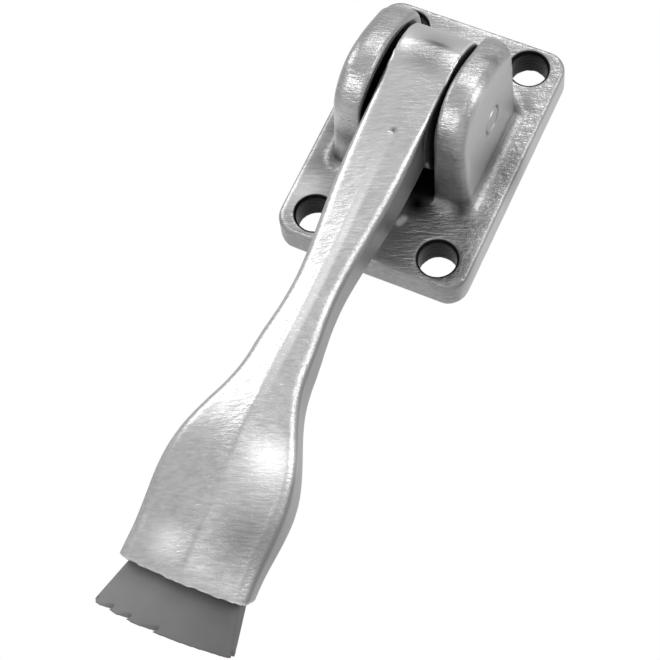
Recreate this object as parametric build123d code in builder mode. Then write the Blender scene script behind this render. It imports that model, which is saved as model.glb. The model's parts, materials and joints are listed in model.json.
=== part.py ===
from build123d import *
import os
from math import cos, radians, sin, tan

# Kick-down door holder: a cast base with two ears, a cast arm on a pivot pin, a rubber foot.
# Frame: origin at the middle of the plate's back face, +X right, +Z up the door, -Y out of the door.
# Heights are measured out from the plate's front face; drops are measured down from the plate's middle.

# Base plate
PLATE_W = 44.5
PLATE_H = 63.5
PLATE_T = 8.2
PLATE_CORNER_R = 4.7
PLATE_EDGE_R = 0.9

# Screw holes, straight through with broken edges
HOLE_INSET_X = 7.7
HOLE_INSET_Z = 6.05
HOLE_DX = PLATE_W - 2 * HOLE_INSET_X
HOLE_DZ = PLATE_H - 2 * HOLE_INSET_Z
HOLE_R = 4.2
HOLE_EDGE = 0.3

# Arm head and pivot
HEAD_R = 14.4
HEAD_HALF_W = 6.9
HEAD_PLATE_GAP = 0.4
PIVOT_UP = 2.4
PIVOT_OUT = HEAD_R + HEAD_PLATE_GAP
PIN_R = 3.1
PIN_CLEAR = 0.05
PIN_CHAMFER = 0.4

# Ears
EAR_SIDE_GAP = 1.2
EAR_IN = HEAD_HALF_W + EAR_SIDE_GAP
EAR_THICK_TOP = 6.9
EAR_DRAFT = 2.6
EAR_OVER_PIN = 16.8
EAR_TOP = PIVOT_OUT + EAR_OVER_PIN
EAR_HOLE_GAP = 1.5
EAR_UPPER_END = HOLE_DZ / 2 - HOLE_R - EAR_HOLE_GAP
EAR_LOWER_END = -13.0
EAR_CUT_RISE = 0.2
EAR_CUT_DROP = 8.0
EAR_OUTER_R = 2.6
EAR_INNER_R = 0.8
EAR_FOOT_R = 3.0
EAR_SUNK = 1.0

# Bowed spring washers between head and ears
WASHER_R_OUT = 7.6
WASHER_R_IN = PIN_R + 0.4
WASHER_T = 0.3
WASHER_BOW = 0.2

# Arm
ARM_FRONT = PIVOT_OUT + HEAD_R
ARM_SIDE_STEP = 0.1
ARM_HALF_W = HEAD_HALF_W - ARM_SIDE_STEP
NECK_HALF_W = 5.0
NECK_DIP = 2.8
NECK_DEPTH = 11.2
NECK_FRONT = ARM_FRONT - NECK_DIP
NECK_BACK = NECK_FRONT - NECK_DEPTH
NECK_BACK_R = 1.5
NECK_DROP = 53.0
FACET_DROP = 1.2
SOCKET_HALF_W = 14.2
SOCKET_BELLY = 8.6
SOCKET_BACK = NECK_BACK - SOCKET_BELLY
SOCKET_SHOULDER_R = 3.4
SOCKET_BACK_R = 4.5

# Slanted rim of the socket, and the hollow behind it
RIM_SLANT = 30
RIM_DROP = 114.7
RIM_SINK = 8.0
RIM_HALF_DEPTH = 6.4
RIM_FRONT = NECK_FRONT - RIM_SINK
RIM_REF_OUT = RIM_FRONT - RIM_HALF_DEPTH
SOCKET_WALL = 2.4
SOCKET_FACET = 2.2
SOCKET_DEPTH = 12.0
SOCKET_CORNER_R = 2.2

# Casting pit on the front of the arm
PIT_X = 0.9
PIT_DROP = 14.9
PIT_R = 0.8

# Rubber foot
FOOT_LEN = 10.0
FOOT_RIM_HALF_W = SOCKET_HALF_W - 2.2
SOLE_HALF_W = 15.2
RIB_PITCH = 2.6
RIB_DEPTH = 1.7
RIB_SKEW = 17
RIB_COUNT = 7
RIB_FIRST = 1.2
FOOT_CORNER_R = 1.8
FOOT_RIDGE_R = 26.0
FOOT_FRONT_IN = 0.9
FOOT_SHOULDER_IN = 4.0
FOOT_BACK_IN = 1.5
SOLE_FRONT_IN = 0.3
SOLE_SHOULDER_IN = 4.8
SOLE_BACK_IN = 3.2
TENON_SHORT = 0.5


def out(height):
    """Model Y of a height measured out from the plate's front face."""
    return -(PLATE_T + height)


# Runs along the arm, and how much its outline changes on them
flare_run = RIM_DROP - NECK_DROP
flare = SOCKET_HALF_W - NECK_HALF_W
shank_r = 0.65 * SOCKET_SHOULDER_R
shank_back = NECK_BACK - NECK_BACK_R


def below_neck(share):
    """Drop of a section at a share of the run from the neck to the rim."""
    return NECK_DROP + share * flare_run


# Arm sections from head to rim: drop, half width, ridge, shoulder, back, shoulder radius, back radius
ARM_SECTIONS = [
    (-PIVOT_UP, ARM_HALF_W, ARM_FRONT - 0.02 * NECK_DIP, ARM_FRONT - 0.07 * NECK_DIP,
     shank_back, 0.34 * shank_r, NECK_BACK_R),
    (0.19 * NECK_DROP, ARM_HALF_W, ARM_FRONT - 0.11 * NECK_DIP, ARM_FRONT - 0.25 * NECK_DIP,
     shank_back, 0.55 * shank_r, NECK_BACK_R),
    (0.45 * NECK_DROP, 0.985 * ARM_HALF_W, NECK_FRONT + 0.68 * NECK_DIP, NECK_FRONT + 0.43 * NECK_DIP,
     NECK_BACK - 0.87 * NECK_BACK_R, 0.86 * shank_r, NECK_BACK_R),
    (0.72 * NECK_DROP, 1.16 * NECK_HALF_W, NECK_FRONT + 0.29 * NECK_DIP, NECK_FRONT - 0.07 * NECK_DIP,
     NECK_BACK - 0.4 * NECK_BACK_R, shank_r, NECK_BACK_R),
    (NECK_DROP, NECK_HALF_W, NECK_FRONT, NECK_FRONT - FACET_DROP, NECK_BACK, shank_r, NECK_BACK_R),
    (below_neck(0.222), NECK_HALF_W + 0.14 * flare, NECK_FRONT + 0.33 * FACET_DROP, NECK_FRONT - FACET_DROP,
     NECK_BACK - 0.17 * SOCKET_BELLY, 0.67 * SOCKET_SHOULDER_R, 0.44 * SOCKET_BACK_R),
    (below_neck(0.417), NECK_HALF_W + 0.38 * flare, NECK_FRONT + 0.58 * FACET_DROP, NECK_FRONT - FACET_DROP,
     SOCKET_BACK + 0.465 * SOCKET_BELLY, 0.7 * SOCKET_SHOULDER_R, 0.67 * SOCKET_BACK_R),
    (below_neck(0.595), SOCKET_HALF_W - 0.155 * flare, NECK_FRONT - 0.025 * RIM_SINK,
     NECK_FRONT - 0.325 * RIM_SINK,
     SOCKET_BACK + 0.116 * SOCKET_BELLY, 0.77 * SOCKET_SHOULDER_R, 0.89 * SOCKET_BACK_R),
    (below_neck(0.708), SOCKET_HALF_W - 0.01 * flare, NECK_FRONT - 0.25 * RIM_SINK,
     NECK_FRONT - 0.55 * RIM_SINK,
     SOCKET_BACK + 0.07 * SOCKET_BELLY, 0.88 * SOCKET_SHOULDER_R, SOCKET_BACK_R),
    (below_neck(0.919), SOCKET_HALF_W - 0.03 * flare, RIM_FRONT + 0.325 * RIM_SINK,
     RIM_FRONT + 0.05 * RIM_SINK,
     SOCKET_BACK + 0.13 * SOCKET_BELLY, SOCKET_SHOULDER_R, SOCKET_BACK_R),
    (below_neck(1.113), SOCKET_HALF_W - 0.045 * flare, RIM_FRONT - 0.1125 * RIM_SINK,
     RIM_FRONT - 0.375 * RIM_SINK,
     SOCKET_BACK + 0.12 * SOCKET_BELLY, SOCKET_SHOULDER_R, SOCKET_BACK_R),
]

# Slanted planes: local x is X, local y runs outwards and down along the slant
SLANT = radians(RIM_SLANT)
SLANT_NORMAL = (0, sin(SLANT), -cos(SLANT))
RIM_PLANE = Plane(origin=(0, out(RIM_REF_OUT), -RIM_DROP), x_dir=(1, 0, 0), z_dir=SLANT_NORMAL)
SOLE_DROP = RIM_DROP + FOOT_LEN / cos(SLANT)
SOLE_PLANE = Plane(origin=(0, out(RIM_REF_OUT), -SOLE_DROP), x_dir=(1, 0, 0), z_dir=SLANT_NORMAL)


def on_slant(height):
    """Local y on a slanted plane of a height measured out from the plate's front face."""
    return (height - RIM_REF_OUT) / cos(SLANT)


# Hollow of the socket, on the rim plane
socket_half_w = SOCKET_HALF_W - SOCKET_WALL
socket_front = on_slant(RIM_FRONT - SOCKET_WALL - SOCKET_FACET)
socket_rear = on_slant(SOCKET_BACK + SOCKET_WALL)
socket_mid = (socket_front + socket_rear) / 2
socket_depth_y = socket_front - socket_rear

# Ribs run on the skew across the sole; local x of this plane steps across them, local y is the depth
RIB_TURN = radians(RIB_SKEW)
SOLE_FRONT = SOLE_PLANE.from_local_coords(Vector(0, on_slant(RIM_FRONT - SOLE_FRONT_IN), 0))
RIB_ACROSS = SOLE_PLANE.x_dir * sin(RIB_TURN) + SOLE_PLANE.y_dir * cos(RIB_TURN)
RIB_ALONG = SOLE_PLANE.x_dir * cos(RIB_TURN) - SOLE_PLANE.y_dir * sin(RIB_TURN)
RIB_PLANE = Plane(origin=SOLE_FRONT, x_dir=RIB_ACROSS, z_dir=RIB_ALONG)


def ear_outer_x(height):
    """Distance of an ear's leaning outer face from the middle plane, at a height."""
    return EAR_IN + EAR_THICK_TOP + (EAR_TOP - height) * tan(radians(EAR_DRAFT))


def ear_front_edge(edge):
    """True for a long edge that runs round the ear's side profile, clear of the plate."""
    ends = edge.vertices()
    return edge.center().Y < out(2.0) and abs(ends[0].X - ends[-1].X) < 4 and edge.length > 4


# Ears: one side profile across both, narrowed by a drafted width profile
ear_rise = EAR_UPPER_END - PIVOT_UP
ear_fall = PIVOT_UP - EAR_LOWER_END
ear_cut_start = Vector(EAR_IN + 1, EAR_UPPER_END + EAR_CUT_RISE)
ear_cut_end = Vector(ear_outer_x(0) + 1, EAR_UPPER_END - EAR_CUT_DROP)
with BuildPart() as ears:
    with BuildSketch(Plane.YZ):
        with BuildLine():
            Spline(
                (out(-EAR_SUNK), EAR_UPPER_END),
                (out(0.32 * EAR_TOP), EAR_UPPER_END - 0.006 * ear_rise),
                (out(0.54 * EAR_TOP), EAR_UPPER_END - 0.034 * ear_rise),
                (out(0.68 * EAR_TOP), EAR_UPPER_END - 0.13 * ear_rise),
                (out(0.82 * EAR_TOP), EAR_UPPER_END - 0.4375 * ear_rise),
                (out(0.962 * EAR_TOP), PIVOT_UP + 0.068 * ear_rise),
                (out(EAR_TOP), PIVOT_UP - 0.295 * ear_rise),
                (out(0.956 * EAR_TOP), EAR_LOWER_END + 0.377 * ear_fall),
                (out(0.854 * EAR_TOP), EAR_LOWER_END + 0.162 * ear_fall),
                (out(0.665 * EAR_TOP), EAR_LOWER_END + 0.052 * ear_fall),
                tangents=((-1.0, 0.0), (0.99, -0.04)),
            )
            Polyline(
                (out(0.665 * EAR_TOP), EAR_LOWER_END + 0.052 * ear_fall),
                (out(-EAR_SUNK), EAR_LOWER_END),
                (out(-EAR_SUNK), EAR_UPPER_END),
            )
        make_face()
    extrude(amount=PLATE_W / 2, both=True)
    with BuildSketch(Plane.XY.offset(-PLATE_H / 2)):
        with BuildLine():
            Polyline(
                (EAR_IN, out(-EAR_SUNK)),
                (ear_outer_x(-EAR_SUNK), out(-EAR_SUNK)),
                (ear_outer_x(EAR_TOP + 3.0), out(EAR_TOP + 3.0)),
                (EAR_IN, out(EAR_TOP + 3.0)),
                close=True,
            )
        make_face()
        mirror(about=Plane.YZ)
    extrude(amount=PLATE_H, mode=Mode.INTERSECT)
    fillet(
        ears.edges().filter_by(lambda e: abs(e.center().X) > EAR_IN + 3 and ear_front_edge(e)),
        radius=EAR_OUTER_R,
    )
    fillet(
        ears.edges().filter_by(lambda e: abs(abs(e.center().X) - EAR_IN) < 0.01 and ear_front_edge(e)),
        radius=EAR_INNER_R,
    )
    # Seen from the front, each ear's upper outer corner is cut back clear of the screw hole
    with BuildSketch(Plane.XZ):
        with BuildLine():
            Polyline(
                (ear_cut_start.X, EAR_UPPER_END + 5),
                ear_cut_start,
                ear_cut_end,
                (ear_outer_x(0) + 5, EAR_UPPER_END - EAR_CUT_DROP),
                (ear_outer_x(0) + 5, EAR_UPPER_END + 5),
                close=True,
            )
        make_face()
        mirror(about=Plane.YZ)
    extrude(amount=PLATE_T + EAR_TOP + 5, mode=Mode.SUBTRACT)

# Base: plate with rounded corners, ears, wide fillets at their outer feet, screw holes, pin bore
# The fillet at an ear's foot is limited by the flat land beside it, to the plate's edge and to the screw hole
edge_land = PLATE_W / 2 - PLATE_EDGE_R - ear_outer_x(0)
cut_run = (ear_cut_end - ear_cut_start).normalized()
hole_land = abs(cut_run.cross(Vector(HOLE_DX / 2, HOLE_DZ / 2) - ear_cut_start).Z) - HOLE_R - HOLE_EDGE
ear_foot_r = min(EAR_FOOT_R, 0.9 * edge_land, 0.95 * hole_land)
with BuildPart() as base:
    with BuildSketch(Plane.XZ):
        RectangleRounded(PLATE_W, PLATE_H, PLATE_CORNER_R)
    extrude(amount=PLATE_T)
    fillet(base.faces().sort_by(Axis.Y)[0].edges(), radius=PLATE_EDGE_R)
    add(ears.part)
    fillet(
        base.edges().filter_by(
            lambda e: abs(e.center().Y - out(0)) < 0.01 and abs(e.center().X) > EAR_IN + 0.5
            and abs(e.center().X) < PLATE_W / 2 - 3 and abs(e.center().Z) < PLATE_H / 2 - 3
        ),
        radius=ear_foot_r,
    )
    # The slot for the arm's head is cleared down to the plate, so its inner feet have no fillet
    with BuildSketch(Plane.XZ.offset(PLATE_T)):
        Rectangle(2 * EAR_IN, PLATE_H - 2 * PLATE_EDGE_R)
    extrude(amount=EAR_TOP, mode=Mode.SUBTRACT)
    with Locations(Plane.XZ.offset(PLATE_T)):
        with GridLocations(HOLE_DX, HOLE_DZ, 2, 2):
            Hole(HOLE_R)
    chamfer(
        base.edges().filter_by(GeomType.CIRCLE).filter_by(
            lambda e: abs(e.radius - HOLE_R) < 0.01 and abs(e.center().Y - out(0)) < 0.01
        ),
        length=HOLE_EDGE,
    )
    with BuildSketch(Plane.YZ):
        with Locations((out(PIVOT_OUT), PIVOT_UP)):
            Circle(PIN_R)
    extrude(amount=PLATE_W / 2, both=True, mode=Mode.SUBTRACT)
base.part.label = "base"

# Pivot pin: pressed in both ears, its ends flush with their leaning outer faces
with BuildPart() as pivot_pin:
    pin_half = ear_outer_x(PIVOT_OUT) - 0.1
    with BuildSketch(Plane.YZ):
        with Locations((out(PIVOT_OUT), PIVOT_UP)):
            Circle(PIN_R)
    extrude(amount=pin_half, both=True)
    chamfer(pivot_pin.edges().filter_by(GeomType.CIRCLE), length=PIN_CHAMFER)
pivot_pin.part.label = "pivot_pin"

# Arm: round head, lofted shank with a centre ridge, slanted hollow socket
with BuildPart() as arm:
    for drop, half_w, ridge, shoulder, back, shoulder_r, back_r in ARM_SECTIONS:
        with BuildSketch(Plane.XY.offset(-drop)) as section:
            with BuildLine():
                Polyline(
                    (0, out(ridge)),
                    (half_w, out(shoulder)),
                    (half_w, out(back)),
                    (-half_w, out(back)),
                    (-half_w, out(shoulder)),
                    close=True,
                )
            make_face()
            fillet(
                section.vertices().filter_by(lambda v: abs(v.X) > 1).sort_by(Axis.Y)[:2],
                radius=shoulder_r,
            )
            fillet(
                section.vertices().sort_by(Axis.Y)[-2:],
                radius=back_r,
            )
    loft()
    split(bisect_by=RIM_PLANE, keep=Keep.BOTTOM)
    with BuildSketch(Plane.YZ):
        with Locations((out(PIVOT_OUT), PIVOT_UP)):
            Circle(HEAD_R)
    extrude(amount=HEAD_HALF_W, both=True)
    with BuildSketch(Plane.YZ):
        with Locations((out(PIVOT_OUT), PIVOT_UP)):
            Circle(PIN_R + PIN_CLEAR)
    extrude(amount=HEAD_HALF_W + 1, both=True, mode=Mode.SUBTRACT)
    with BuildSketch(RIM_PLANE):
        with Locations((0, socket_mid)):
            RectangleRounded(2 * socket_half_w, socket_depth_y, SOCKET_CORNER_R)
    extrude(amount=SOCKET_DEPTH, dir=(0, 0, 1), mode=Mode.SUBTRACT)
    with Locations((PIT_X, out(ARM_FRONT - 0.2), -PIT_DROP)):
        Sphere(PIT_R, mode=Mode.SUBTRACT)
arm.part.label = "arm"

# Rubber foot: tenon in the socket, flared body, sole ribbed on the skew
with BuildPart() as rubber_foot:
    with BuildSketch(RIM_PLANE) as foot_top:
        with BuildLine():
            Polyline(
                (0, on_slant(RIM_FRONT - FOOT_FRONT_IN)),
                (FOOT_RIM_HALF_W, on_slant(RIM_FRONT - FOOT_SHOULDER_IN)),
                (FOOT_RIM_HALF_W, on_slant(SOCKET_BACK + FOOT_BACK_IN)),
                (-FOOT_RIM_HALF_W, on_slant(SOCKET_BACK + FOOT_BACK_IN)),
                (-FOOT_RIM_HALF_W, on_slant(RIM_FRONT - FOOT_SHOULDER_IN)),
                close=True,
            )
        make_face()
        fillet(foot_top.vertices().filter_by(lambda v: abs(v.X) > 1), radius=FOOT_CORNER_R)
        fillet(foot_top.vertices().filter_by(lambda v: abs(v.X) < 1), radius=FOOT_RIDGE_R)
    with BuildSketch(SOLE_PLANE) as foot_sole:
        with BuildLine():
            Polyline(
                (0, on_slant(RIM_FRONT - SOLE_FRONT_IN)),
                (SOLE_HALF_W, on_slant(RIM_FRONT - SOLE_SHOULDER_IN)),
                (SOLE_HALF_W, on_slant(SOCKET_BACK + SOLE_BACK_IN)),
                (-SOLE_HALF_W, on_slant(SOCKET_BACK + SOLE_BACK_IN)),
                (-SOLE_HALF_W, on_slant(RIM_FRONT - SOLE_SHOULDER_IN)),
                close=True,
            )
        make_face()
        fillet(foot_sole.vertices().filter_by(lambda v: abs(v.X) > 1), radius=FOOT_CORNER_R)
        fillet(foot_sole.vertices().filter_by(lambda v: abs(v.X) < 1), radius=FOOT_RIDGE_R)
    loft()
    with BuildSketch(RIM_PLANE):
        with Locations((0, socket_mid)):
            RectangleRounded(2 * socket_half_w, socket_depth_y, SOCKET_CORNER_R)
    extrude(amount=SOCKET_DEPTH - TENON_SHORT, dir=(0, 0, 1))
    with BuildSketch(RIB_PLANE):
        for i in range(RIB_COUNT):
            with Locations((-RIB_FIRST - i * RIB_PITCH, 0)):
                Polygon((0, RIB_DEPTH), (-RIB_PITCH, RIB_DEPTH), (-0.35 * RIB_PITCH, -RIB_DEPTH), align=None)
    extrude(amount=2 * SOLE_HALF_W, both=True, mode=Mode.SUBTRACT)
rubber_foot.part.label = "rubber_foot"

# Bowed spring washer in the gap between the head and the right ear, bowed about a line along Z
with BuildPart() as washer_right:
    washer_mid = HEAD_HALF_W + EAR_SIDE_GAP / 2
    washer_reach = WASHER_R_OUT + 1
    low_x = washer_mid - WASHER_BOW / 2
    high_x = washer_mid + WASHER_BOW / 2
    with BuildSketch(Plane.XY.offset(PIVOT_UP - washer_reach)):
        with BuildLine():
            inner_arc = ThreePointArc(
                (low_x - WASHER_T / 2, out(PIVOT_OUT) - washer_reach),
                (high_x - WASHER_T / 2, out(PIVOT_OUT)),
                (low_x - WASHER_T / 2, out(PIVOT_OUT) + washer_reach),
            )
            outer_arc = ThreePointArc(
                (low_x + WASHER_T / 2, out(PIVOT_OUT) - washer_reach),
                (high_x + WASHER_T / 2, out(PIVOT_OUT)),
                (low_x + WASHER_T / 2, out(PIVOT_OUT) + washer_reach),
            )
            Line(inner_arc @ 0, outer_arc @ 0)
            Line(inner_arc @ 1, outer_arc @ 1)
        make_face()
    extrude(amount=2 * washer_reach)
    with BuildSketch(Plane.YZ):
        with Locations((out(PIVOT_OUT), PIVOT_UP)):
            Circle(WASHER_R_OUT)
            Circle(WASHER_R_IN, mode=Mode.SUBTRACT)
    extrude(amount=PLATE_W / 2, both=True, mode=Mode.INTERSECT)
washer_right.part.label = "washer_right"

# Its mirror image on the other side of the head
with BuildPart() as washer_left:
    mirror(washer_right.part, about=Plane.YZ)
washer_left.part.label = "washer_left"

os.makedirs("parts", exist_ok=True)
export_step(base.part, "parts/base.step")
export_step(pivot_pin.part, "parts/pivot_pin.step")
export_step(arm.part, "parts/arm.step")
export_step(rubber_foot.part, "parts/rubber_foot.step")
export_step(washer_left.part, "parts/washer_left.step")
export_step(washer_right.part, "parts/washer_right.step")
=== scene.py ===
"""Kick-down door holder: cast base and arm, rubber foot, pivot pin and spring washers, in a white studio."""

import json
import logging
import math
from dataclasses import dataclass
from enum import Enum
from typing import Any

import bmesh
import bpy
import numpy as np
from mathutils import Matrix, Vector

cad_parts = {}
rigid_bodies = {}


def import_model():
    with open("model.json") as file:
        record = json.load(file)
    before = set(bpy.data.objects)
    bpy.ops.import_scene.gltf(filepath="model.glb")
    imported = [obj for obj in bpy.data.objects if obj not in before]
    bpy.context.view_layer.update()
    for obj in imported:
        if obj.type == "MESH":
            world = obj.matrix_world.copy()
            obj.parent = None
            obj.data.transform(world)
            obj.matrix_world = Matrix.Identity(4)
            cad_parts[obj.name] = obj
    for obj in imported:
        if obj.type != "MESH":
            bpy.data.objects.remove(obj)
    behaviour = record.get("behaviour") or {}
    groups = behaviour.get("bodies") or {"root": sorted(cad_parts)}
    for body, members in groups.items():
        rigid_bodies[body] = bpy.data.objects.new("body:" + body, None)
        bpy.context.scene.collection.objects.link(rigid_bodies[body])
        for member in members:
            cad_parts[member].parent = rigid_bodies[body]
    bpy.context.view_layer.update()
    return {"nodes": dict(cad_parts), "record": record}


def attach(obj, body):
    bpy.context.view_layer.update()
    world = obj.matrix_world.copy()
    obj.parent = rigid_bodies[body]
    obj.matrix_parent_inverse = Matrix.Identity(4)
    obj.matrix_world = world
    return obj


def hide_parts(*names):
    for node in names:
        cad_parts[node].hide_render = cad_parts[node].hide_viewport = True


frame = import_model()

MM = 0.001
log = logging.getLogger("door_holder")


class Body(Enum):
    """The two rigid bodies of the holder."""

    BASE = "base"
    ARM = "arm"


def hex_linear(code: str) -> tuple[float, float, float, float]:
    """Turns an sRGB hex colour into linear RGBA.

    Args:
        code: six hex digits with a leading hash.

    Returns:
        Linear red, green, blue and an alpha of one.
    """
    parts = [int(code[i:i + 2], 16) / 255 for i in (1, 3, 5)]
    lin = [c / 12.92 if c <= 0.04045 else ((c + 0.055) / 1.055) ** 2.4 for c in parts]
    return (lin[0], lin[1], lin[2], 1.0)


def add_node(tree: bpy.types.NodeTree, kind: str, settings: dict[str, Any] | None = None,
             inputs: dict[Any, Any] | None = None) -> bpy.types.Node:
    """Adds a node, sets its properties and fills or links its inputs.

    Args:
        tree: node tree that gets the node.
        kind: Blender's class name of the node.
        settings: property names and values.
        inputs: socket names or numbers, each with a value or an output socket to link from.

    Returns:
        The new node.
    """
    node = tree.nodes.new(kind)
    for name, value in (settings or {}).items():
        setattr(node, name, value)
    for key, value in (inputs or {}).items():
        if isinstance(value, bpy.types.NodeSocket):
            tree.links.new(value, node.inputs[key])
        else:
            node.inputs[key].default_value = value
    return node


def new_material(name: str) -> tuple[bpy.types.Material, bpy.types.NodeTree, bpy.types.Node]:
    """Starts an empty material.

    Args:
        name: the material's name.

    Returns:
        The material, its node tree and its shader node, already joined to the output.
    """
    material = bpy.data.materials.new(name)
    material.use_nodes = True
    tree = material.node_tree
    tree.nodes.clear()
    shader = add_node(tree, "ShaderNodeBsdfPrincipled")
    add_node(tree, "ShaderNodeOutputMaterial", None, {"Surface": shader.outputs["BSDF"]})
    return material, tree, shader


@dataclass(frozen=True)
class Mark:
    """A soft mark on a casting, used both for spots of its finish and for painted highlights and painted shade:
    its centre and radius in millimetres, how strong it is, its colour, and how many radii it reaches along each
    axis."""

    centre: tuple[float, float, float]
    radius: float
    strength: float
    colour: str = "#2A2A2A"
    reach: tuple[float, float, float] = (1.0, 1.0, 1.0)


# Pale and dark places on the base, many of them painted highlights and painted shade; the later ones lie over the
# earlier ones
BASE_MARKS_AND_PAINTED_LIGHT = (
    # Dark spots on the right ear's top and above its foot
    Mark((12.9, -36.3, 9.0), 3.0, 0.45),
    Mark((17.3, -8.2, 16.2), 3.4, 0.5),
    # Painted shade of the arm on the plate below the ears, and a painted black shadow where the slot opens on the
    # plate
    Mark((7.5, -8.2, -24.0), 12.0, 0.15),
    Mark((5.2, -8.2, -15.2), 5.5, 1.0, "#020202"),
    # Duller corner and right border of the plate
    Mark((20.0, -8.2, -27.0), 9.0, 0.6, "#585858"),
    Mark((21.5, -7.8, 0.0), 10.0, 0.6, "#585858"),
    # Shade at the left ear's foot, with paler metal below it and along the plate's top
    Mark((-18.0, -9.5, -5.0), 7.0, 0.75, "#4A4A4A"),
    Mark((-18.0, -9.5, -12.5), 6.5, 0.65, "#4A4A4A"),
    Mark((-19.0, -8.2, -22.0), 7.0, 0.5, "#D0D0D0"),
    Mark((1.0, -8.2, 27.0), 8.0, 0.4, "#D0D0D0"),
    # Painted reflection on the lower end of the left ear
    Mark((-12.0, -28.0, -12.2), 8.0, 0.7, "#E0E0E0"),
    # Painted highlight below the slot, where light slips under the arm, longer than it is wide
    Mark((3.4, -8.2, -21.0), 1.3, 1.0, "#FAFAFA"),
    Mark((3.7, -8.2, -20.3), 1.3, 1.0, "#FAFAFA"),
    Mark((4.0, -8.2, -19.6), 1.3, 1.0, "#FAFAFA"),
    # Painted highlight on the outer edge of the right ear, and a painted black shadow under its lower end
    Mark((14.0, -39.6, -1.1), 4.5, 0.3, "#E8E8E8"),
    Mark((15.0, -9.2, -13.8), 4.0, 0.9, "#101010"),
    # Pale foot of the left ear's lower end
    Mark((-14.5, -16.5, -12.8), 6.0, 0.7, "#E0E0E0"),
    # Shade all along the hollow at the right ear's foot
    Mark((17.0, -9.4, 2.0), 2.9, 0.68, "#484848", (1.0, 1.0, 7.0)),
)
# Pale and dark places on the arm, most of them painted highlights and painted shade
ARM_MARKS_AND_PAINTED_LIGHT = (
    # Painted highlight as a bright oval on the socket's right facet, painted shade on the metal below it and a
    # painted highlight at the rim
    Mark((7.6, -32.8, -90.0), 7.5, 0.55, "#F2F2F2"),
    Mark((9.0, -28.2, -106.2), 11.5, 0.7, "#646464"),
    Mark((-5.0, -28.5, -112.0), 6.0, 0.5, "#E4E4E4"),
    # Darker top of the head, with painted shade along the crease across it
    Mark((0.8, -36.9, 5.5), 8.5, 0.75, "#525252"),
    Mark((1.1, -36.3, 8.0), 1.3, 0.65, "#303030", (3.0, 1.0, 1.0)),
    # Painted shade on the floor of the casting pit
    Mark((0.9, -36.3, -14.9), 1.4, 0.9, "#1C1C1C"),
)


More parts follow.
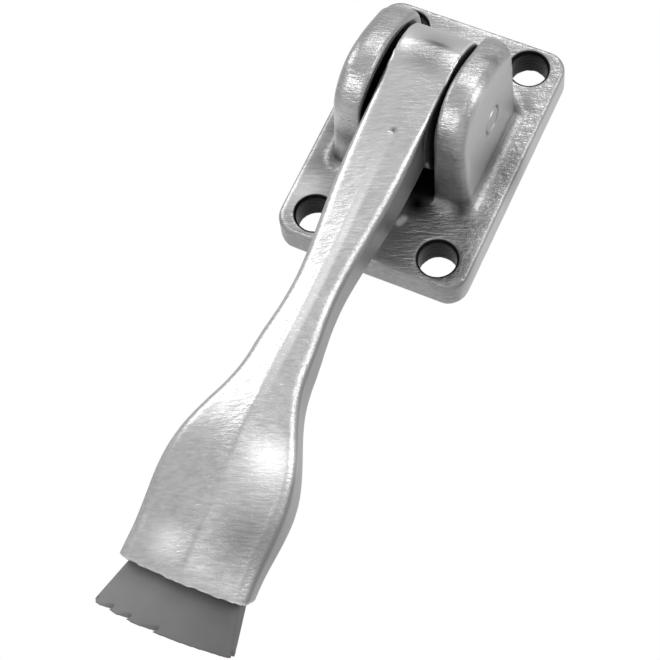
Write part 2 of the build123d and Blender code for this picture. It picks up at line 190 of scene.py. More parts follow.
@dataclass(frozen=True)
class CastAluminium:
    """Sand-cast aluminium, tumbled: a dull grey metal with fine slanting streaks and rubbed edges.

    Tumbling doesn't reach the recesses, so they keep a dark skin, which painted shade deepens to near black, and
    the flanks stay plainer than the front.
    """

    name: str
    light: str
    dark: str
    # Colour of the flanks; on the arm it is darker than the front, painted shade on the sides
    flank: str
    edge: str = "#DADADA"
    # Colour of the recesses: their dark skin, deepened to near black as painted shade
    recess: str = "#080808"
    barrel: str = "#8A8A8A"
    # Colour of the painted highlight along the ridge
    ridge: str = "#E0E0E0"
    # The painted highlight along the ridge: where it lies along each axis, how softly it ends there, and how
    # strong it is
    ridge_span_mm: tuple[tuple[float, float], ...] = ((-0.6, 1.5), (-60.0, -31.0), (-72.0, -24.0))
    ridge_fade_mm: tuple[float, float, float] = (0.5, 1.0, 16.0)
    ridge_highlight_share: float = 0.0
    # Sizes of the noises, and their shares in the skin's height and tone
    streak_mm: tuple[float, float] = (3.2, 0.6)
    streak_turn_deg: float = 22.6
    grit_mm: float = 0.5
    grit_share: float = 0.25
    lump_mm: float = 1.5
    lump_share: float = 1.6
    cloud_mm: float = 11.0
    cloud_share: float = 0.5
    bump_mm: float = 0.16
    # Where the head's plain round begins, where the lumps begin, and where the left side is calmest
    plain_above_mm: float = 100.0
    plain_fade_mm: tuple[float, float] = (0.8, 0.4)
    lumpy_beyond_mm: float = 100.0
    lumpy_fade_mm: tuple[float, float] = (2.0, 1.0)
    calm_left_mm: float = -100.0
    # Share of the bump that plain places keep, and share of bump and wear that the left side keeps
    plain_share: float = 0.18
    left_share: float = 0.25
    # How closed in a place is where the dark skin and its painted shade begin and where they are full
    recess_from: float = 0.5
    recess_full: float = 0.76
    # Noise over which colour and roughness run, the roughness at both ends and on the head's round, and the shine
    tone_range: tuple[float, float] = (0.45, 1.05)
    gloss_range: tuple[float, float] = (0.4, 1.1)
    gloss: tuple[float, float] = (0.4, 0.29)
    barrel_roughness: float = 0.52
    shine: float = 0.05
    marks: tuple[Mark, ...] = ()

    def build(self) -> bpy.types.Material:
        """Builds the material.

        Returns:
            The finished material.
        """
        material, tree, shader = new_material(self.name)
        coords = add_node(tree, "ShaderNodeTexCoord")
        place = coords.outputs["Object"]
        axes = add_node(tree, "ShaderNodeSeparateXYZ", None, {"Vector": place})
        # Streaks lie across the casting, a little uphill to the right, longer than they are wide
        turned = add_node(tree, "ShaderNodeMapping", None, {
            "Vector": place, "Rotation": (0.0, math.radians(self.streak_turn_deg), 0.0)})
        along, across = (1.0 / (MM * size) for size in self.streak_mm)
        stretched = add_node(tree, "ShaderNodeVectorMath", {"operation": "MULTIPLY"}, {
            0: turned.outputs["Vector"], 1: (along, across, across)})
        streaks = add_node(tree, "ShaderNodeTexNoise", None, {
            "Vector": stretched.outputs["Vector"], "Scale": 1.0, "Detail": 3.0, "Roughness": 0.62})
        grit = add_node(tree, "ShaderNodeTexNoise", None, {
            "Vector": place, "Scale": 1.0 / (MM * self.grit_mm), "Detail": 2.0})
        lumps = add_node(tree, "ShaderNodeTexNoise", None, {
            "Vector": place, "Scale": 1.0 / (MM * self.lump_mm), "Detail": 2.0})
        cloud = add_node(tree, "ShaderNodeTexNoise", None, {
            "Vector": place, "Scale": 1.0 / (MM * self.cloud_mm), "Detail": 3.0})
        flank = add_node(tree, "ShaderNodeAttribute", {"attribute_name": "flank"})
        edge = add_node(tree, "ShaderNodeAttribute", {"attribute_name": "edge"})
        recess = add_node(tree, "ShaderNodeAttribute", {"attribute_name": "recess"})

        # Places that stay plain: the flanks and, on the arm, the round of the head
        above = add_node(tree, "ShaderNodeMapRange", {"interpolation_type": "SMOOTHSTEP"}, {
            "Value": axes.outputs["Z"], "From Min": MM * (self.plain_above_mm - self.plain_fade_mm[0]),
            "From Max": MM * (self.plain_above_mm + self.plain_fade_mm[1])})
        plain = add_node(tree, "ShaderNodeMath", {"operation": "MAXIMUM"}, {
            0: flank.outputs["Fac"], 1: above.outputs["Result"]})
        # Skin height: streaks with a little grit, and lumps of sand grain along the plate's side
        height = add_node(tree, "ShaderNodeMath", {"operation": "MULTIPLY_ADD"}, {
            0: grit.outputs["Fac"], 1: self.grit_share, 2: streaks.outputs["Fac"]})
        beyond = add_node(tree, "ShaderNodeMapRange", None, {
            "Value": axes.outputs["X"], "From Min": MM * (self.lumpy_beyond_mm - self.lumpy_fade_mm[0]),
            "From Max": MM * (self.lumpy_beyond_mm + self.lumpy_fade_mm[1]), "To Max": self.lump_share})
        lumpy = add_node(tree, "ShaderNodeMath", {"operation": "MULTIPLY_ADD"}, {
            0: lumps.outputs["Fac"], 1: beyond.outputs["Result"], 2: height.outputs["Value"]})
        calm = add_node(tree, "ShaderNodeMapRange", None, {
            "Value": plain.outputs["Value"], "To Min": 1.0, "To Max": self.plain_share})
        leftwards = add_node(tree, "ShaderNodeMapRange", None, {
            "Value": axes.outputs["X"], "From Min": MM * self.calm_left_mm, "From Max": 0.0,
            "To Min": self.left_share, "To Max": 1.0})
        strength = add_node(tree, "ShaderNodeMath", {"operation": "MULTIPLY"}, {
            0: calm.outputs["Result"], 1: leftwards.outputs["Result"]})
        bump = add_node(tree, "ShaderNodeBump", None, {
            "Height": lumpy.outputs["Value"], "Strength": strength.outputs["Value"],
            "Distance": MM * self.bump_mm})

        # Colour: light and dark streaks under a broad cloudiness, plainer flanks (painted darker as shade on the
        # arm), edges rubbed less to the left, a painted highlight along the ridge, marks over them (many of them
        # painted highlights and shade), and dark recesses over all, deepened by painted shade
        mixed = add_node(tree, "ShaderNodeMath", {"operation": "MULTIPLY_ADD"}, {
            0: cloud.outputs["Fac"], 1: self.cloud_share, 2: streaks.outputs["Fac"]})
        share = add_node(tree, "ShaderNodeMapRange", None, {
            "Value": mixed.outputs["Value"], "From Min": self.tone_range[0], "From Max": self.tone_range[1]})
        skin = add_node(tree, "ShaderNodeMix", {"data_type": "RGBA"}, {
            "Factor": share.outputs["Result"], 6: hex_linear(self.dark), 7: hex_linear(self.light)})
        # Flanks take their own colour; on the arm this is painted shade on the sides
        shaded_flanks = add_node(tree, "ShaderNodeMix", {"data_type": "RGBA"}, {
            "Factor": flank.outputs["Fac"], 6: skin.outputs[2], 7: hex_linear(self.flank)})
        rounded = add_node(tree, "ShaderNodeMix", {"data_type": "RGBA"}, {
            "Factor": above.outputs["Result"], 6: shaded_flanks.outputs[2], 7: hex_linear(self.barrel)})
        worn = add_node(tree, "ShaderNodeMath", {"operation": "MULTIPLY"}, {
            0: edge.outputs["Fac"], 1: leftwards.outputs["Result"]})
        rubbed = add_node(tree, "ShaderNodeMix", {"data_type": "RGBA"}, {
            "Factor": worn.outputs["Value"], 6: rounded.outputs[2], 7: hex_linear(self.edge)})
        colour = self.painted_ridge_highlight(tree, axes, rubbed.outputs[2])
        # Marks lie over the colour: spots of the finish, painted highlights and painted shade
        for mark in self.marks:
            away = add_node(tree, "ShaderNodeVectorMath", {"operation": "SUBTRACT"}, {
                0: place, 1: tuple(MM * c for c in mark.centre)})
            shrunk = add_node(tree, "ShaderNodeVectorMath", {"operation": "DIVIDE"}, {
                0: away.outputs["Vector"], 1: mark.reach})
            near = add_node(tree, "ShaderNodeVectorMath", {"operation": "LENGTH"}, {0: shrunk.outputs["Vector"]})
            spread = add_node(tree, "ShaderNodeMapRange", {"interpolation_type": "SMOOTHSTEP"}, {
                "Value": near.outputs["Value"], "From Min": 0.0, "From Max": MM * mark.radius,
                "To Min": mark.strength, "To Max": 0.0})
            marked = add_node(tree, "ShaderNodeMix", {"data_type": "RGBA"}, {
                "Factor": spread.outputs["Result"], 6: colour, 7: hex_linear(mark.colour)})
            colour = marked.outputs[2]
        # Closed-in places take the dark skin and painted shade of the recesses
        depth = add_node(tree, "ShaderNodeMapRange", {"interpolation_type": "SMOOTHSTEP"}, {
            "Value": recess.outputs["Fac"], "From Min": self.recess_from, "From Max": self.recess_full})
        skin_and_painted_shade = add_node(tree, "ShaderNodeMix", {"data_type": "RGBA"}, {
            "Factor": depth.outputs["Result"], 6: colour, 7: hex_linear(self.recess)})
        gloss = add_node(tree, "ShaderNodeMapRange", None, {
            "Value": mixed.outputs["Value"], "From Min": self.gloss_range[0], "From Max": self.gloss_range[1],
            "To Min": self.gloss[0], "To Max": self.gloss[1]})
        turned_dull = add_node(tree, "ShaderNodeMix", {"data_type": "FLOAT"}, {
            "Factor": above.outputs["Result"], 2: gloss.outputs["Result"], 3: self.barrel_roughness})
        # The dark skin of the recesses, deepened by painted shade, is a dull oxide, with no shine of bare metal
        bare = add_node(tree, "ShaderNodeMath", {"operation": "SUBTRACT"}, {0: 1.0, 1: depth.outputs["Result"]})
        shader.inputs["Specular IOR Level"].default_value = self.shine
        tree.links.new(bare.outputs["Value"], shader.inputs["Metallic"])
        tree.links.new(skin_and_painted_shade.outputs[2], shader.inputs["Base Color"])
        tree.links.new(turned_dull.outputs[0], shader.inputs["Roughness"])
        tree.links.new(bump.outputs["Normal"], shader.inputs["Normal"])
        return material

    def painted_ridge_highlight(self, tree: bpy.types.NodeTree, axes: bpy.types.Node,
                     colour: bpy.types.NodeSocket) -> bpy.types.NodeSocket:
        """Paints a highlight along the casting's ridge, beside the middle of its upper shank.

        Args:
            tree: the material's node tree.
            axes: node that gives the place as X, Y and Z.
            colour: the colour so far.

        Returns:
            The colour with the rubbed ridge.
        """
        factor = None
        for axis, (low, high), fade in zip("XYZ", self.ridge_span_mm, self.ridge_fade_mm):
            for start, end in ((low - fade, low + fade), (high + fade, high - fade)):
                step = add_node(tree, "ShaderNodeMapRange", {"interpolation_type": "SMOOTHSTEP"}, {
                    "Value": axes.outputs[axis], "From Min": MM * start, "From Max": MM * end})
                if factor is not None:
                    step = add_node(tree, "ShaderNodeMath", {"operation": "MULTIPLY"}, {
                        0: factor, 1: step.outputs["Result"]})
                factor = step.outputs[0]
        scaled = add_node(tree, "ShaderNodeMath", {"operation": "MULTIPLY"}, {0: factor, 1: self.ridge_highlight_share})
        ridge = add_node(tree, "ShaderNodeMix", {"data_type": "RGBA"}, {
            "Factor": scaled.outputs["Value"], 6: colour, 7: hex_linear(self.ridge)})
        return ridge.outputs[2]


@dataclass(frozen=True)
class MouldedRubber:
    """Grey moulded rubber: a smooth matt skin with faint clouding."""

    name: str
    light: str = "#6A6A6A"
    dark: str = "#4A4A4A"
    cloud_mm: float = 6.0
    cloud_share: float = 0.4
    # Share of the light colour at the left and at the right end: painted shading, lighter on the left
    side_shading: tuple[float, float] = (0.8, -0.2)
    half_width_mm: float = 15.0
    pore_mm: float = 0.4
    pore_depth_mm: float = 0.05
    pore_strength: float = 0.25
    roughness: float = 0.62
    ior: float = 1.5

    def build(self) -> bpy.types.Material:
        """Builds the material.

        Returns:
            The finished material.
        """
        material, tree, shader = new_material(self.name)
        coords = add_node(tree, "ShaderNodeTexCoord")
        cloud = add_node(tree, "ShaderNodeTexNoise", None, {
            "Vector": coords.outputs["Object"], "Scale": 1.0 / (MM * self.cloud_mm), "Detail": 4.0})
        pores = add_node(tree, "ShaderNodeTexNoise", None, {
            "Vector": coords.outputs["Object"], "Scale": 1.0 / (MM * self.pore_mm), "Detail": 2.0})
        # Painted shading: lighter towards the left and darker towards the right, as light falls across the foot
        axes = add_node(tree, "ShaderNodeSeparateXYZ", None, {"Vector": coords.outputs["Object"]})
        side_shading = add_node(tree, "ShaderNodeMapRange", None, {
            "Value": axes.outputs["X"], "From Min": -MM * self.half_width_mm, "From Max": MM * self.half_width_mm,
            "To Min": self.side_shading[0], "To Max": self.side_shading[1]})
        pale = add_node(tree, "ShaderNodeMath", {"operation": "MULTIPLY_ADD", "use_clamp": True}, {
            0: cloud.outputs["Fac"], 1: self.cloud_share, 2: side_shading.outputs["Result"]})
        colour = add_node(tree, "ShaderNodeMix", {"data_type": "RGBA"}, {
            "Factor": pale.outputs["Value"], 6: hex_linear(self.dark), 7: hex_linear(self.light)})
        bump = add_node(tree, "ShaderNodeBump", None, {
            "Height": pores.outputs["Fac"], "Strength": self.pore_strength,
            "Distance": MM * self.pore_depth_mm})
        shader.inputs["Roughness"].default_value = self.roughness
        shader.inputs["IOR"].default_value = self.ior
        tree.links.new(colour.outputs[2], shader.inputs["Base Color"])
        tree.links.new(bump.outputs["Normal"], shader.inputs["Normal"])
        return material


@dataclass(frozen=True)
class DrawnSteel:
    """Plain drawn steel: a grey metal with fine lines along its length."""

    name: str
    light: str
    dark: str
    line_mm: float = 0.3
    line_stretch: float = 20.0
    line_depth_mm: float = 0.03
    line_strength: float = 0.3
    roughness: float = 0.4

    def build(self) -> bpy.types.Material:
        """Builds the material.

        Returns:
            The finished material.
        """
        material, tree, shader = new_material(self.name)
        coords = add_node(tree, "ShaderNodeTexCoord")
        fine = 1.0 / (MM * self.line_mm)
        drawn = add_node(tree, "ShaderNodeVectorMath", {"operation": "MULTIPLY"}, {
            0: coords.outputs["Object"], 1: (fine / self.line_stretch, fine, fine)})
        lines = add_node(tree, "ShaderNodeTexNoise", None, {
            "Vector": drawn.outputs["Vector"], "Scale": 1.0, "Detail": 3.0})
        colour = add_node(tree, "ShaderNodeMix", {"data_type": "RGBA"}, {
            "Factor": lines.outputs["Fac"], 6: hex_linear(self.dark), 7: hex_linear(self.light)})
        bump = add_node(tree, "ShaderNodeBump", None, {
            "Height": lines.outputs["Fac"], "Strength": self.line_strength,
            "Distance": MM * self.line_depth_mm})
        shader.inputs["Metallic"].default_value = 1.0
        shader.inputs["Roughness"].default_value = self.roughness
        tree.links.new(colour.outputs[2], shader.inputs["Base Color"])
        tree.links.new(bump.outputs["Normal"], shader.inputs["Normal"])
        return material


class SkinTree:
    """Geometry Nodes tree that gives a solid its moulded or cast skin, and marks its flanks for the finish."""

    FLANK_FROM = 0.72
    FLANK_FULL = 0.95

    def __init__(self) -> None:
        """Builds the tree with named inputs for its sizes."""
        tree = bpy.data.node_groups.new("moulded_skin", "GeometryNodeTree")
        self.tree = tree
        self.ids: dict[str, str] = {}
        face = tree.interface
        face.new_socket("Geometry", in_out="INPUT", socket_type="NodeSocketGeometry")
        for name, kind in (("Wave Size", "NodeSocketFloat"), ("Wave Depth", "NodeSocketFloat"),
                           ("Seed", "NodeSocketFloat"), ("Finish", "NodeSocketMaterial")):
            self.ids[name] = face.new_socket(name, in_out="INPUT", socket_type=kind).identifier
        face.new_socket("Geometry", in_out="OUTPUT", socket_type="NodeSocketGeometry")
        given = add_node(tree, "NodeGroupInput").outputs
        normal = add_node(tree, "GeometryNodeInputNormal").outputs["Normal"]
        place = add_node(tree, "GeometryNodeInputPosition").outputs["Position"]
        # Slow swells of the skin, as a sand mould gives them
        pace = add_node(tree, "ShaderNodeMath", {"operation": "DIVIDE"}, {0: 1.0, 1: given["Wave Size"]})
        swell = add_node(tree, "ShaderNodeTexNoise", {"noise_dimensions": "4D"}, {
            "Vector": place, "W": given["Seed"], "Scale": pace.outputs["Value"], "Detail": 2.0})
        middle = add_node(tree, "ShaderNodeMath", {"operation": "SUBTRACT"}, {0: swell.outputs["Fac"], 1: 0.5})
        reach = add_node(tree, "ShaderNodeMath", {"operation": "MULTIPLY"}, {
            0: middle.outputs["Value"], 1: given["Wave Depth"]})
        shift = add_node(tree, "ShaderNodeVectorMath", {"operation": "SCALE"}, {
            0: normal, "Scale": reach.outputs["Value"]})
        moved = add_node(tree, "GeometryNodeSetPosition", None, {
            "Geometry": given["Geometry"], "Offset": shift.outputs["Vector"]})
        # Flanks are the faces that look sideways
        parts = add_node(tree, "ShaderNodeSeparateXYZ", None, {"Vector": normal})
        sideways = add_node(tree, "ShaderNodeMath", {"operation": "ABSOLUTE"}, {0: parts.outputs["X"]})
        level = add_node(tree, "ShaderNodeMapRange", {"interpolation_type": "SMOOTHSTEP"}, {
            "Value": sideways.outputs["Value"], "From Min": self.FLANK_FROM, "From Max": self.FLANK_FULL})
        marked = add_node(tree, "GeometryNodeStoreNamedAttribute", {"data_type": "FLOAT", "domain": "POINT"}, {
            "Geometry": moved.outputs["Geometry"], "Name": "flank", "Value": level.outputs["Result"]})
        smooth = add_node(tree, "GeometryNodeSetShadeSmooth", None, {"Geometry": marked.outputs["Geometry"]})
        real = add_node(tree, "GeometryNodeRealizeInstances", None, {"Geometry": smooth.outputs["Geometry"]})
        dressed = add_node(tree, "GeometryNodeSetMaterial", None, {
            "Geometry": real.outputs["Geometry"], "Material": given["Finish"]})
        add_node(tree, "NodeGroupOutput", None, {"Geometry": dressed.outputs["Geometry"]})

    def attach(self, obj: bpy.types.Object, wave_mm: float, depth_mm: float, seed: float,
               finish: bpy.types.Material) -> None:
        """Puts the tree on an object.

        Args:
            obj: the mesh object.
            wave_mm: width of the skin's swells.
            depth_mm: height of the swells.
            seed: fixed number that picks the pattern.
            finish: material for the whole piece.
        """
        modifier = obj.modifiers.new("skin", "NODES")
        modifier.node_group = self.tree
        modifier[self.ids["Wave Size"]] = wave_mm * MM
        modifier[self.ids["Wave Depth"]] = depth_mm * MM
        modifier[self.ids["Seed"]] = seed
        modifier[self.ids["Finish"]] = finish


def settle(obj: bpy.types.Object) -> None:
    """Turns an object's modifiers into its plain mesh.

    Args:
        obj: the mesh object.
    """
    bpy.context.view_layer.update()
    graph = bpy.context.evaluated_depsgraph_get()
    mesh = bpy.data.meshes.new_from_object(obj.evaluated_get(graph))
    obj.modifiers.clear()
    obj.data = mesh


def coordinates(mesh: bpy.types.Mesh, normals: bool = False) -> np.ndarray:
    """Reads a mesh's vertex places or normals.

    Args:
        mesh: the mesh.
        normals: True for the normals.

    Returns:
        One row of three numbers for each vertex.
    """
    data = np.zeros(len(mesh.vertices) * 3, np.float32)
    if normals:
        mesh.vertex_normals.foreach_get("vector", data)
    else:
        mesh.vertices.foreach_get("co", data)
    return data.reshape(-1, 3)


@dataclass
class SkinnedPiece:
    """A casting or moulding: the solid of one node with softened edges and a skin of its own."""

    name: str
    node: str
    body: Body
    slot: str
    finish: bpy.types.Material
    voxel_mm: float
    soften: int
    wave_mm: float
    depth_mm: float
    seed: float
    edge_mm: float = 0.08
    edge_from: float = 0.25
    soften_share: float = 0.5
    weld_m: float = 1e-6

    def solid_copy(self) -> bpy.types.Object:
        """Copies the node's solid as one closed mesh.

        Returns:
            The new object.
        """
        mesh = frame["nodes"][self.node].data.copy()
        bm = bmesh.new()
        bm.from_mesh(mesh)
        bmesh.ops.remove_doubles(bm, verts=bm.verts, dist=self.weld_m)
        bm.to_mesh(mesh)
        bm.free()
        obj = bpy.data.objects.new(self.name, mesh)
        bpy.context.scene.collection.objects.link(obj)
        return obj

    def soften_edges(self, obj: bpy.types.Object) -> None:
        """Gives the mesh even facets, rounds its edges and notes how sharp each place was.

        Args:
            obj: the object made by solid_copy.
        """
        remesh = obj.modifiers.new("even", "REMESH")
        remesh.mode = "VOXEL"
        remesh.voxel_size = self.voxel_mm * MM
        settle(obj)
        before = coordinates(obj.data)
        facing = coordinates(obj.data, normals=True)
        smooth = obj.modifiers.new("soft", "SMOOTH")
        smooth.factor = self.soften_share
        smooth.iterations = self.soften
        settle(obj)
        sunk = ((before - coordinates(obj.data)) * facing).sum(1)
        sharp = np.clip(sunk / (self.edge_mm * MM) - self.edge_from, 0, 1).astype(np.float32)
        obj.data.attributes.new("edge", "FLOAT", "POINT").data.foreach_set("value", sharp)

    def prepare(self) -> bpy.types.Object:
        """Makes the softened solid, ready for its skin.

        Returns:
            The new object.
        """
        obj = self.solid_copy()
        self.soften_edges(obj)
        return obj

    def complete(self, obj: bpy.types.Object, skin: SkinTree) -> None:
        """Gives the object its skin and sets it in place of its node.

        Args:
            obj: the object made by prepare.
            skin: the Geometry Nodes tree for skins.
        """
        skin.attach(obj, self.wave_mm, self.depth_mm, self.seed, self.finish)
        settle(obj)
        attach(obj, self.body.value)
        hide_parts(self.node)
        log.info("%s: %d vertices", self.name, len(obj.data.vertices))


class RecessMap:
    """Finds how closed in each place of the assembled pieces is, where tumbling couldn't rub the metal and where
    shade falls, for the finish's dark skin and painted shade.
    """

    CELL = 0.8 * MM
    MARGIN = 2
    RAYS = 72
    STEPS = 24
    START = 1.4 * MM
    HALO = 1.6 * MM
    ROUNDS = 30
    STRIDE = 1.1 * CELL
    LEAST_WEIGHT = 0.1
    KEPT_SHARE = 0.4

    def __init__(self, objects: list[bpy.types.Object]) -> None:
        """Fills a grid with the pieces' surfaces.

        Args:
            objects: the dense meshes, at rest.
        """
        points = np.concatenate([coordinates(obj.data) for obj in objects])
        self.low = points.min(0) - self.MARGIN * self.CELL
        cells = ((points - self.low) / self.CELL).astype(int)
        self.filled = np.zeros(cells.max(0) + self.MARGIN + 1, bool)
        self.filled[tuple(cells.T)] = True

    def directions(self) -> np.ndarray:
        """Spreads directions evenly over a sphere.

        Returns:
            One unit vector in each row.
        """
        turn = np.arange(self.RAYS) + 0.5
        rise = 1 - 2 * turn / self.RAYS
        angle = math.pi * (1 + 5 ** 0.5) * turn
        flat = np.sqrt(1 - rise * rise)
        return np.stack([np.cos(angle) * flat, np.sin(angle) * flat, rise], 1)

    def near_bores(self, points: np.ndarray) -> np.ndarray:
        """Tells how near points lie to the screw holes, whose edges keep the dark skin and painted shade too.

        Args:
            points: one point in each row.

        Returns:
            One in a hole, falling to zero over the halo round it.
        """
        holes = next(m for m in frame["record"]["mounts"] if m["name"] == "screw_holes")["dims"]
        across = np.abs(np.abs(points[:, 0]) - holes["spacing_x_mm"] * MM / 2)
        upright = np.abs(np.abs(points[:, 2]) - holes["spacing_y_mm"] * MM / 2)
        beyond = np.hypot(across, upright) - holes["hole_r_mm"] * MM
        return np.clip(1 - beyond / self.HALO, 0, 1)

    def mark(self, obj: bpy.types.Object) -> None:
        """Writes the share of blocked directions of each vertex as the attribute recess, which the finish turns
        into dark skin and painted shade.

        Args:
            obj: one of the dense meshes.
        """
        facing = coordinates(obj.data, normals=True)
        start = coordinates(obj.data) + facing * self.START
        blocked = np.zeros(len(start))
        total = np.zeros(len(start))
        limit = np.array(self.filled.shape) - 1
        for way in self.directions():
            weight = np.clip(facing @ way, 0, None)
            live = np.flatnonzero(weight > self.LEAST_WEIGHT)
            total[live] += weight[live]
            for step in range(self.STEPS):
                spot = ((start[live] + way * (step * self.STRIDE) - self.low) / self.CELL).astype(int)
                inside = ((spot >= 0) & (spot <= limit)).all(1)
                spot = np.clip(spot, 0, limit)
                hit = inside & self.filled[tuple(spot.T)]
                blocked[live[hit]] += weight[live[hit]]
                live = live[inside & ~hit]
        share = self.evened(obj.data, blocked / np.maximum(total, 1e-6))
        share = np.maximum(share, self.near_bores(coordinates(obj.data))).astype(np.float32)
        obj.data.attributes.new("recess", "FLOAT", "POINT").data.foreach_set("value", share)

    def evened(self, mesh: bpy.types.Mesh, values: np.ndarray) -> np.ndarray:
        """Evens out values over a mesh, each with its neighbours.

        Args:
            mesh: the mesh.
            values: one number for each vertex.

        Returns:
            The evened values.
        """
        ends = np.zeros(len(mesh.edges) * 2, np.int32)
        mesh.edges.foreach_get("vertices", ends)
        one, two = ends.reshape(-1, 2).T
        count = len(values)
        near = np.maximum(np.bincount(one, minlength=count) + np.bincount(two, minlength=count), 1)
        for _ in range(self.ROUNDS):
            total = np.bincount(one, values[two], count) + np.bincount(two, values[one], count)
            values = self.KEPT_SHARE * values + (1 - self.KEPT_SHARE) * total / near
        return values


@dataclass
class PlainPiece:
    """A turned or stamped piece whose solid is already right and only gets a finish."""

    node: str
    finish: bpy.types.Material

    def dress(self) -> None:
        """Gives the node its finish."""
        for material_slot in frame["nodes"][self.node].material_slots:
            material_slot.material = self.finish
        log.info("%s: dressed", self.node)


@dataclass(frozen=True)
class SoftBox:
    """A rectangular studio lamp: its bearing from the object's front and its height in degrees, how far it stands
    from its aim and its size in metres, its power, and how wide its grid lets the light spread."""

    name: str
    bearing: float
    height: float
    distance: float
    size: tuple[float, float]
    watts: float
    spread: float = 180.0
    aim: tuple[float, float, float] = (0.0, -0.02, -0.045)

    def place(self) -> None:
        """Adds the lamp, turned to its aim."""
        lamp = bpy.data.lights.new(self.name, "AREA")
        lamp.shape = "RECTANGLE"
        lamp.size, lamp.size_y = self.size
        lamp.energy = self.watts
        lamp.spread = math.radians(self.spread)
        obj = bpy.data.objects.new(self.name, lamp)
        bpy.context.scene.collection.objects.link(obj)
        turn, rise = math.radians(self.bearing), math.radians(self.height)
        away = Vector((math.sin(turn) * math.cos(rise), -math.cos(turn) * math.cos(rise), math.sin(rise)))
        obj.location = Vector(self.aim) + away * self.distance
        obj.rotation_euler = (-away).to_track_quat("-Z", "Y").to_euler()
        obj.visible_camera = False


@dataclass
class Studio:
    """White studio: pale floor, soft boxes, white surroundings and the camera."""

    boxes: tuple[SoftBox, ...]
    floor_z: float = -0.29
    floor_half: float = 3.0
    floor_colour: str = "#F2F2F2"
    floor_roughness: float = 0.9
    ambient: float = 0.8
    sensor_mm: float = 36.0
    lens_mm: float = 125.0
    near_m: float = 0.01
    camera_at: tuple[float, float, float] = (0.1156, -0.4473, -0.2263)
    camera_forward: tuple[float, float, float] = (-0.237, 0.902, 0.362)
    camera_up: tuple[float, float, float] = (-0.347, -0.426, 0.835)

    def surroundings(self) -> None:
        """Makes the world white where it is seen or mirrored, and a softer light elsewhere."""
        world = bpy.data.worlds.new("white_studio")
        world.use_nodes = True
        tree = world.node_tree
        tree.nodes.clear()
        path = add_node(tree, "ShaderNodeLightPath")
        seen = add_node(tree, "ShaderNodeMath", {"operation": "MAXIMUM"}, {
            0: path.outputs["Is Camera Ray"], 1: path.outputs["Is Glossy Ray"]})
        shown = add_node(tree, "ShaderNodeMath", {"operation": "MAXIMUM"}, {
            0: seen.outputs["Value"], 1: path.outputs["Is Transmission Ray"]})
        soft = add_node(tree, "ShaderNodeBackground", None, {
            "Color": (1, 1, 1, 1), "Strength": self.ambient})
        white = add_node(tree, "ShaderNodeBackground", None, {"Color": (1, 1, 1, 1), "Strength": 1.0})
        both = add_node(tree, "ShaderNodeMixShader", None, {
            0: shown.outputs["Value"], 1: soft.outputs["Background"], 2: white.outputs["Background"]})
        add_node(tree, "ShaderNodeOutputWorld", None, {"Surface": both.outputs["Shader"]})
        bpy.context.scene.world = world

    def floor(self) -> None:
        """Lays the pale floor under the object."""
        half = self.floor_half
        mesh = bpy.data.meshes.new("floor")
        corners = [(x, y, self.floor_z) for x, y in ((-half, -half), (half, -half), (half, half), (-half, half))]
        mesh.from_pydata(corners, [], [(0, 1, 2, 3)])
        obj = bpy.data.objects.new("floor", mesh)
        bpy.context.scene.collection.objects.link(obj)
        material, _, shader = new_material("matt_white_floor")
        shader.inputs["Base Color"].default_value = hex_linear(self.floor_colour)
        shader.inputs["Roughness"].default_value = self.floor_roughness
        mesh.materials.append(material)

    def camera(self) -> None:
        """Sets the camera where the photograph was taken from, below and to the right of the holder."""
        data = bpy.data.cameras.new("camera")
        data.sensor_width = self.sensor_mm
        data.lens = self.lens_mm
        data.clip_start = self.near_m
        obj = bpy.data.objects.new("camera", data)
        bpy.context.scene.collection.objects.link(obj)
        forward = Vector(self.camera_forward).normalized()
        up = Vector(self.camera_up)
        right = forward.cross(up).normalized()
        up = right.cross(forward)
        turn = Matrix((right, up, -forward)).transposed().to_4x4()
        obj.matrix_world = Matrix.Translation(self.camera_at) @ turn
        bpy.context.scene.camera = obj

    def build(self) -> None:
        """Builds the whole studio."""
        bpy.context.scene.view_settings.view_transform = "Standard"
        self.surroundings()
        self.floor()
        self.camera()
        for box in self.boxes:
            box.place()
        log.info("studio: %d lamps", len(self.boxes))


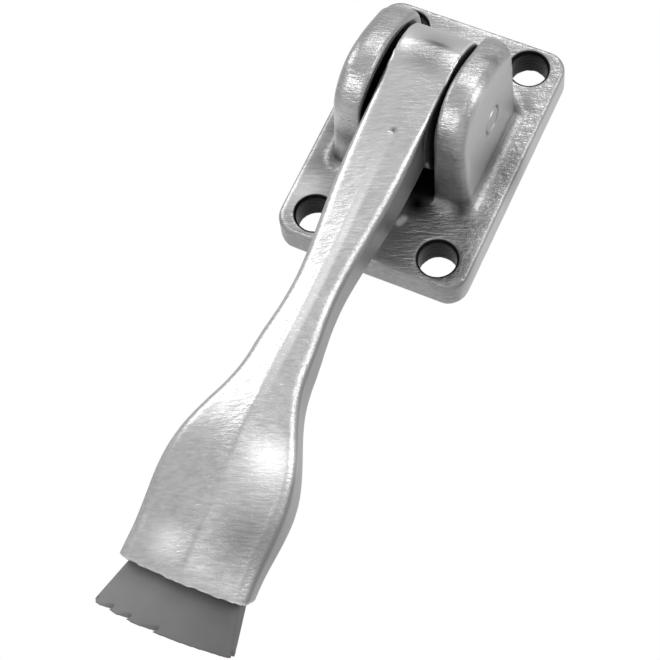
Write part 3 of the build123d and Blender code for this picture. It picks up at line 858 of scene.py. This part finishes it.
def main() -> None:
    """Builds the finishes, the pieces and the studio."""
    logging.basicConfig(level=logging.INFO, format="%(message)s")
    base_finish = CastAluminium(
        "tumbled_cast_aluminium_base", light="#A6A6A6", dark="#7C7C7C", flank="#A6A6A6", edge="#8C8C8C",
        lumpy_beyond_mm=18.5, marks=BASE_MARKS_AND_PAINTED_LIGHT).build()
    arm_finish = CastAluminium(
        # The arm's darker flank colour is painted shade on its sides
        "tumbled_cast_aluminium_arm", light="#B6B6B6", dark="#929292", flank="#7C7C7C", barrel="#A4A4A4",
        recess="#343434", bump_mm=0.12, ridge_highlight_share=0.5, plain_above_mm=7.6, calm_left_mm=-8.0,
        marks=ARM_MARKS_AND_PAINTED_LIGHT).build()
    rubber = MouldedRubber("moulded_grey_rubber").build()
    pin_steel = DrawnSteel("drawn_steel_pin", light="#B0B0B0", dark="#9A9A9A").build()
    washer_steel = DrawnSteel("dark_spring_steel", light="#3A3A3C", dark="#2A2A2C", roughness=0.5).build()
    skin = SkinTree()
    skinned = (
        SkinnedPiece("base_casting", "base", Body.BASE, "base_casting", base_finish,
                     voxel_mm=0.42, soften=8, wave_mm=5.0, depth_mm=0.12, seed=3.0),
        SkinnedPiece("arm_casting", "arm", Body.ARM, "arm_casting", arm_finish,
                     voxel_mm=0.42, soften=5, wave_mm=5.0, depth_mm=0.12, seed=8.0),
        SkinnedPiece("foot_rubber", "rubber_foot", Body.ARM, "foot_rubber", rubber,
                     voxel_mm=0.24, soften=3, wave_mm=6.0, depth_mm=0.04, seed=5.0),
    )
    objects = [piece.prepare() for piece in skinned]
    recesses = RecessMap(objects)
    for piece, obj in zip(skinned, objects):
        recesses.mark(obj)
        piece.complete(obj, skin)
    for node, finish in (("pivot_pin", pin_steel), ("washer_left", washer_steel), ("washer_right", washer_steel)):
        PlainPiece(node, finish).dress()
    Studio(boxes=(
        SoftBox("left_box", bearing=-50.0, height=18.0, distance=0.75, size=(0.30, 0.34), watts=1.7),
        SoftBox("front_box", bearing=8.0, height=-4.0, distance=0.75, size=(0.10, 0.12), watts=0.35),
        SoftBox("right_box", bearing=54.0, height=24.0, distance=0.75, size=(0.56, 0.4), watts=2.3),
        SoftBox("low_box", bearing=-23.0, height=-46.6, distance=0.25, size=(0.09, 0.09), watts=0.0055,
                spread=26.0, aim=(0.0, -0.038, -0.008)),
        SoftBox("top_box", bearing=-10.0, height=54.0, distance=0.8, size=(0.22, 0.2), watts=1.3),
    )).build()


if __name__ == "__main__":
    main()
